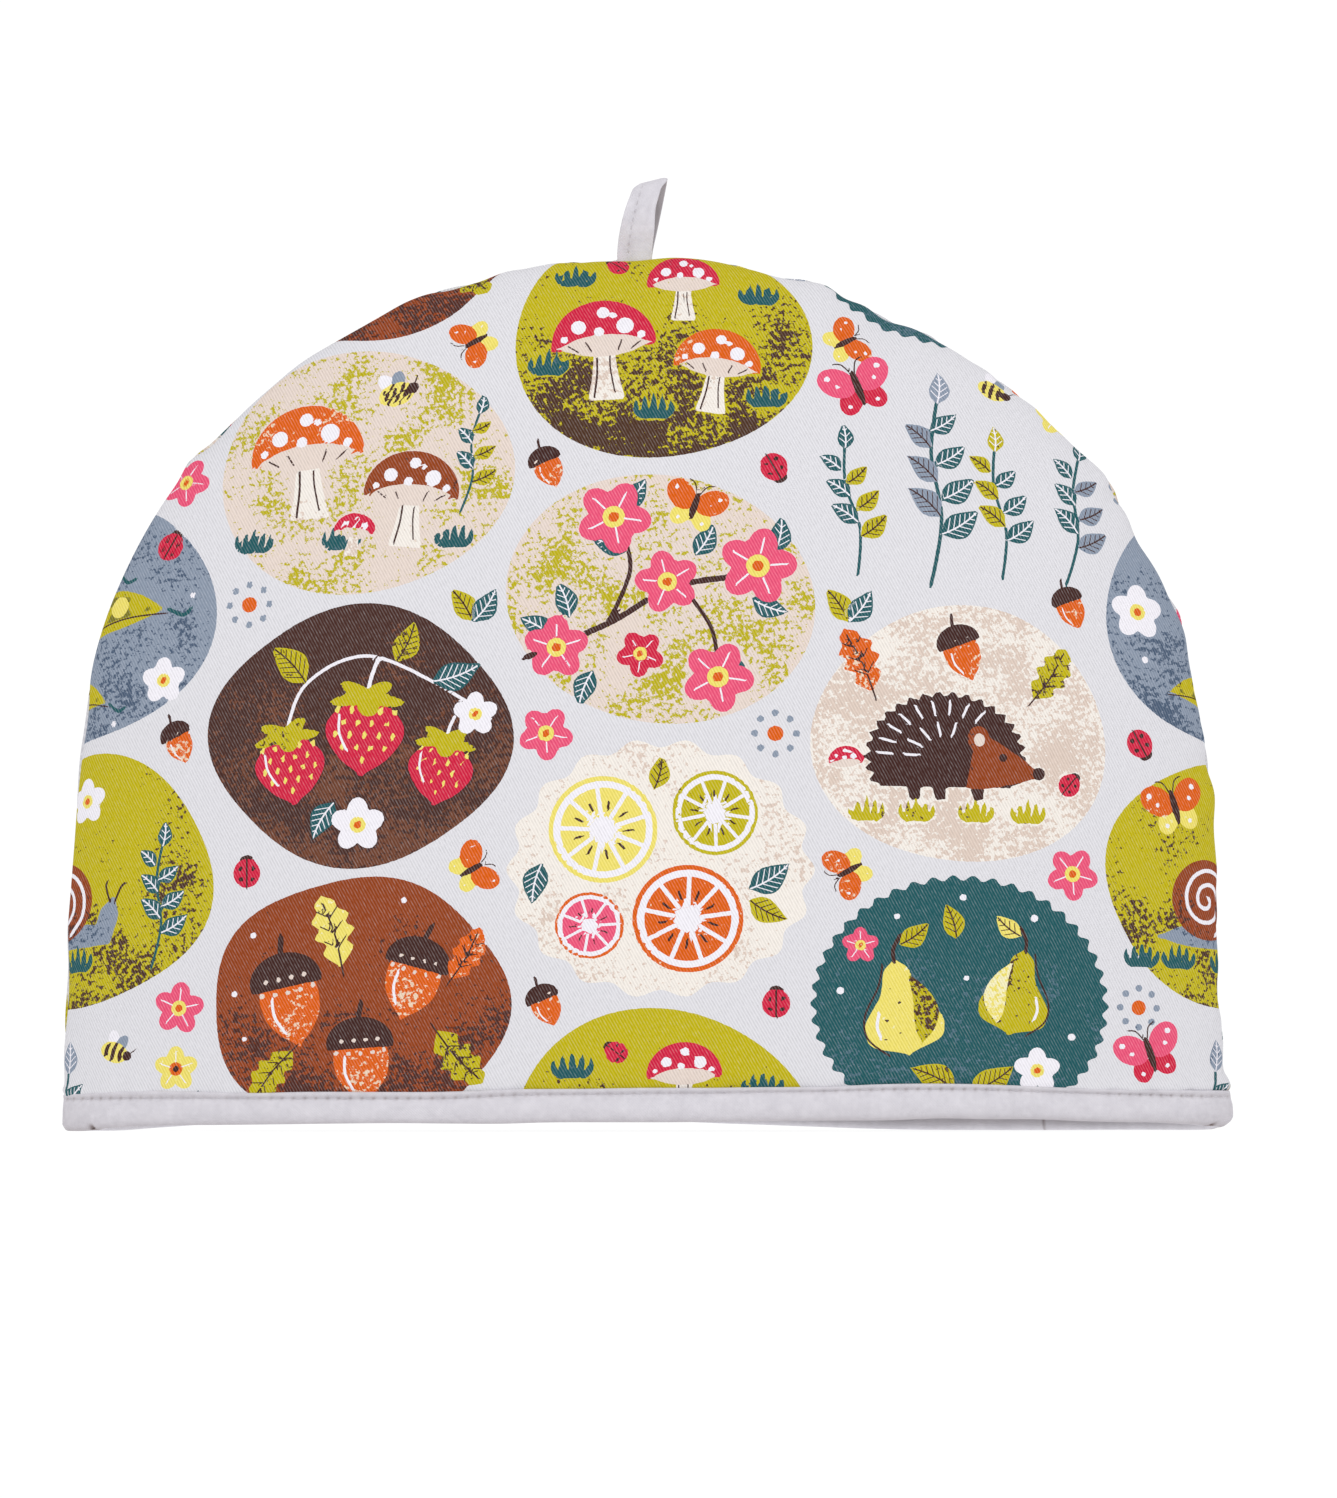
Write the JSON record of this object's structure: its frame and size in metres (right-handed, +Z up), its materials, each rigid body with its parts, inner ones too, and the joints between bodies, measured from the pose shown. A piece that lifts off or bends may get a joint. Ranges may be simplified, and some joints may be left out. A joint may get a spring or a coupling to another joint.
{
  "type": "tea cosy",
  "caption": "Padded, dome-shaped tea cosy of printed cotton: front and back panels seamed over the top, a light-grey bound hem and a folded hanging loop at the crown, standing on its hem.",
  "frame": {"origin": "on the surface the cosy stands on, under the middle of its bounding box", "axes": "+X to the right as seen from the front, along the dome's width; +Y to the back; +Z up"},
  "size_m": [0.3511, 0.1044, 0.2859],
  "materials": {
    "printed_cotton": "matt",
    "grey_cotton": "matt"
  },
  "bodies": {
    "root": {"front_panel": "printed_cotton", "back_panel": "printed_cotton", "hem_binding": "grey_cotton", "hanging_loop": "grey_cotton"}
  },
  "joints": []
}
